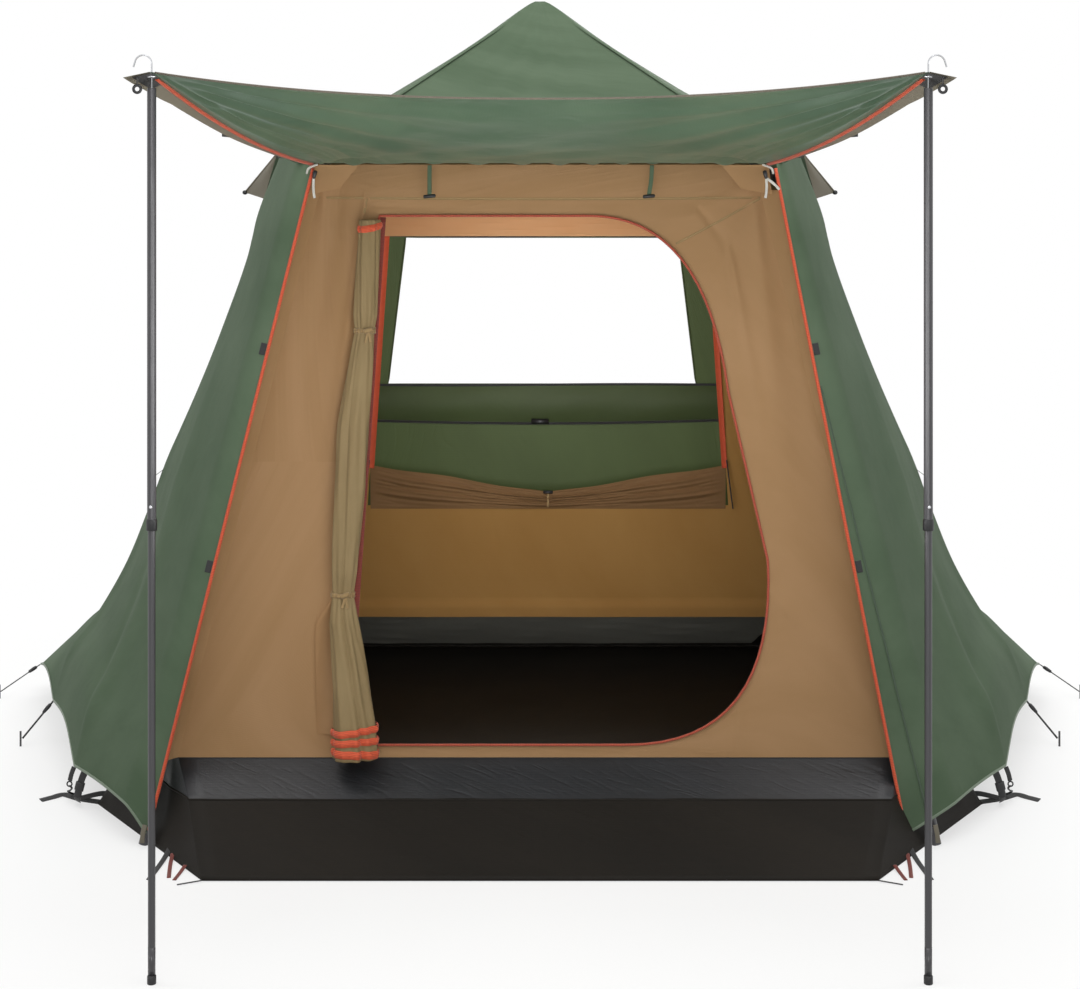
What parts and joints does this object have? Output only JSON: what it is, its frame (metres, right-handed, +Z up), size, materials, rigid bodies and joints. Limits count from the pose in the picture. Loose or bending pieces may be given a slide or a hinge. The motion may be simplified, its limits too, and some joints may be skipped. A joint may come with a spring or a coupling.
{
  "type": "lodge tent with hubbed frame, fly and canopy",
  "caption": "Cabin tent on a folding hubbed frame: fly with rear window and vent hoods, inner tent with zip door, tub floor and a front canopy on adjustable poles.",
  "frame": {"origin": "on the ground, on the underside of the tub floor, under the hub at the peak", "axes": "+Z up, the door faces -Y, +X to the right of somebody who looks in at the door"},
  "size_m": [3.5458, 3.0375, 2.2272],
  "materials": {
    "fly_green": "coated green fly cloth",
    "inner_tan": "breathable tan cloth",
    "floor_black": "coated near-black floor sheet",
    "piping_orange": "orange corded piping",
    "frame_steel": "powder-coated dark grey tube",
    "plastic_black": "moulded black",
    "bright_wire": "plated steel wire",
    "cord_black": "braided black cord"
  },
  "bodies": {
    "tent": {"hub": "plastic_black", "tub_groundsheet": "floor_black", "fly_roof": "fly_green", "inner_roof": "inner_tan", "fly_side_left": "fly_green", "fly_side_right": "fly_green", "fly_rear_wall": "fly_green", "fly_window_flap": "fly_green", "inner_front_wall": "inner_tan", "inner_rear_wall": "inner_tan", "inner_side_left": "inner_tan", "inner_side_right": "inner_tan", "inner_window_panel": "inner_tan", "door_piping": "piping_orange", "door_panel_rolled": "inner_tan", "fly_zip_piping_left": "piping_orange", "fly_zip_piping_right": "piping_orange", "corner_buckle_left": "plastic_black", "ground_loop_strap_left": "plastic_black", "eave_toggle_left": "plastic_black", "guy_cord_side_left": "cord_black", "guy_cord_rear_left": "cord_black", "guy_peg_side_left": "bright_wire", "guy_peg_rear_left": "bright_wire", "corner_buckle_right": "plastic_black", "ground_loop_strap_right": "plastic_black", "eave_toggle_right": "plastic_black", "guy_cord_side_right": "cord_black", "guy_cord_rear_right": "cord_black", "guy_peg_side_right": "bright_wire", "guy_peg_rear_right": "bright_wire", "leg_clip_front_left": "plastic_black", "leg_clip_front_right": "plastic_black", "leg_clip_rear_left": "plastic_black", "leg_clip_rear_right": "plastic_black"},
    "ridge_front_left": {"ridge_pole_front_left": "frame_steel", "elbow_front_left": "plastic_black"},
    "leg_front_left": {"leg_front_left": "frame_steel"},
    "ridge_front_right": {"ridge_pole_front_right": "frame_steel", "elbow_front_right": "plastic_black"},
    "leg_front_right": {"leg_front_right": "frame_steel"},
    "ridge_rear_left": {"ridge_pole_rear_left": "frame_steel", "elbow_rear_left": "plastic_black"},
    "leg_rear_left": {"leg_rear_left": "frame_steel"},
    "ridge_rear_right": {"ridge_pole_rear_right": "frame_steel", "elbow_rear_right": "plastic_black"},
    "leg_rear_right": {"leg_rear_right": "frame_steel"},
    "canopy": {"canopy": "fly_green"},
    "pole_left": {"canopy_pole_lower_left": "frame_steel", "canopy_pole_foot_left": "plastic_black"},
    "pole_top_left": {"canopy_pole_upper_left": "frame_steel"},
    "hook_left": {"lantern_hook_left": "bright_wire"},
    "zip_left": {"fly_zip_slider_left": "plastic_black"},
    "hood_left": {"vent_hood_left": "fly_green"},
    "pole_right": {"canopy_pole_lower_right": "frame_steel", "canopy_pole_foot_right": "plastic_black"},
    "pole_top_right": {"canopy_pole_upper_right": "frame_steel"},
    "hook_right": {"lantern_hook_right": "bright_wire"},
    "zip_right": {"fly_zip_slider_right": "plastic_black"},
    "hood_right": {"vent_hood_right": "fly_green"}
  },
  "joints": [
    {"name": "ridge_fold_front_left", "type": "hinge", "parent": "tent", "child": "ridge_front_left", "pos_m": [-0.04536, -0.05973, 2.162], "axis": [0.7964, -0.6048, 0], "range_deg": [0, 58], "deforming": ["fly_roof", "inner_roof", "fly_side_left", "fly_side_right", "fly_rear_wall", "fly_window_flap", "inner_front_wall", "inner_rear_wall", "inner_side_left", "inner_side_right", "inner_window_panel", "door_piping", "door_panel_rolled", "fly_zip_piping_left", "fly_zip_piping_right", "leg_clip_front_left", "leg_clip_front_right", "leg_clip_rear_left", "leg_clip_rear_right"]},
    {"name": "leg_fold_front_left", "type": "hinge", "parent": "ridge_front_left", "child": "leg_front_left", "pos_m": [-0.6, -0.79, 1.69], "axis": [-0.8318, 0.5341, 0.1511], "range_deg": [0, 227]},
    {"name": "ridge_fold_front_right", "type": "hinge", "parent": "tent", "child": "ridge_front_right", "pos_m": [0.04536, -0.05973, 2.162], "axis": [0.7964, 0.6048, 0], "range_deg": [0, 58]},
    {"name": "leg_fold_front_right", "type": "hinge", "parent": "ridge_front_right", "child": "leg_front_right", "pos_m": [0.6, -0.79, 1.69], "axis": [-0.8318, -0.5341, -0.1511], "range_deg": [0, 227]},
    {"name": "ridge_fold_rear_left", "type": "hinge", "parent": "tent", "child": "ridge_rear_left", "pos_m": [-0.04536, 0.05973, 2.162], "axis": [-0.7964, -0.6048, 0], "range_deg": [0, 58]},
    {"name": "leg_fold_rear_left", "type": "hinge", "parent": "ridge_rear_left", "child": "leg_rear_left", "pos_m": [-0.6, 0.79, 1.69], "axis": [0.8318, 0.5341, -0.1511], "range_deg": [0, 227]},
    {"name": "ridge_fold_rear_right", "type": "hinge", "parent": "tent", "child": "ridge_rear_right", "pos_m": [0.04536, 0.05973, 2.162], "axis": [-0.7964, 0.6048, 0], "range_deg": [0, 58]},
    {"name": "leg_fold_rear_right", "type": "hinge", "parent": "ridge_rear_right", "child": "leg_rear_right", "pos_m": [0.6, 0.79, 1.69], "axis": [0.8318, -0.5341, 0.1511], "range_deg": [0, 227]},
    {"name": "canopy_hinge", "type": "hinge", "parent": "tent", "child": "canopy", "pos_m": [0, -0.8182, 1.72], "axis": [1, 0, 0], "range_deg": [-8, 85], "deforming": ["canopy"]},
    {"name": "pole_lean_left", "type": "hinge", "parent": "tent", "child": "pole_left", "pos_m": [-0.803, -1.778, 0], "axis": [1, 0, 0], "range_deg": [0, 85]},
    {"name": "pole_length_left", "type": "slide", "parent": "pole_left", "child": "pole_top_left", "axis": [0, 0, -1], "range_m": [0, 0.6]},
    {"name": "hook_swivel_left", "type": "hinge", "parent": "pole_top_left", "child": "hook_left", "pos_m": [-0.803, -1.778, 1.86], "axis": [0, 0, 1], "continuous": true},
    {"name": "zip_run_left", "type": "slide", "parent": "tent", "child": "zip_left", "axis": [-0.2302, -0.0834, -0.9696], "range_m": [0, 1.45]},
    {"name": "hood_prop_left", "type": "hinge", "parent": "tent", "child": "hood_left", "pos_m": [-0.8305, 0, 1.761], "axis": [0, 1, 0], "range_deg": [-15, 60]},
    {"name": "pole_lean_right", "type": "hinge", "parent": "tent", "child": "pole_right", "pos_m": [0.803, -1.778, 0], "axis": [1, 0, 0], "range_deg": [0, 85]},
    {"name": "pole_length_right", "type": "slide", "parent": "pole_right", "child": "pole_top_right", "axis": [0, 0, -1], "range_m": [0, 0.6]},
    {"name": "hook_swivel_right", "type": "hinge", "parent": "pole_top_right", "child": "hook_right", "pos_m": [0.803, -1.778, 1.86], "axis": [0, 0, 1], "continuous": true},
    {"name": "zip_run_right", "type": "slide", "parent": "tent", "child": "zip_right", "axis": [0.2302, -0.0834, -0.9696], "range_m": [0, 1.45]},
    {"name": "hood_prop_right", "type": "hinge", "parent": "tent", "child": "hood_right", "pos_m": [0.8305, 0, 1.761], "axis": [0, -1, 0], "range_deg": [-15, 60]}
  ],
  "couplings": [
    {"joint": "leg_fold_front_left", "follows": "ridge_fold_front_left", "ratio": 3.9},
    {"joint": "ridge_fold_front_right", "follows": "ridge_fold_front_left", "ratio": 1},
    {"joint": "leg_fold_front_right", "follows": "ridge_fold_front_left", "ratio": 3.9},
    {"joint": "ridge_fold_rear_left", "follows": "ridge_fold_front_left", "ratio": 1},
    {"joint": "leg_fold_rear_left", "follows": "ridge_fold_front_left", "ratio": 3.9},
    {"joint": "ridge_fold_rear_right", "follows": "ridge_fold_front_left", "ratio": 1},
    {"joint": "leg_fold_rear_right", "follows": "ridge_fold_front_left", "ratio": 3.9}
  ]
}
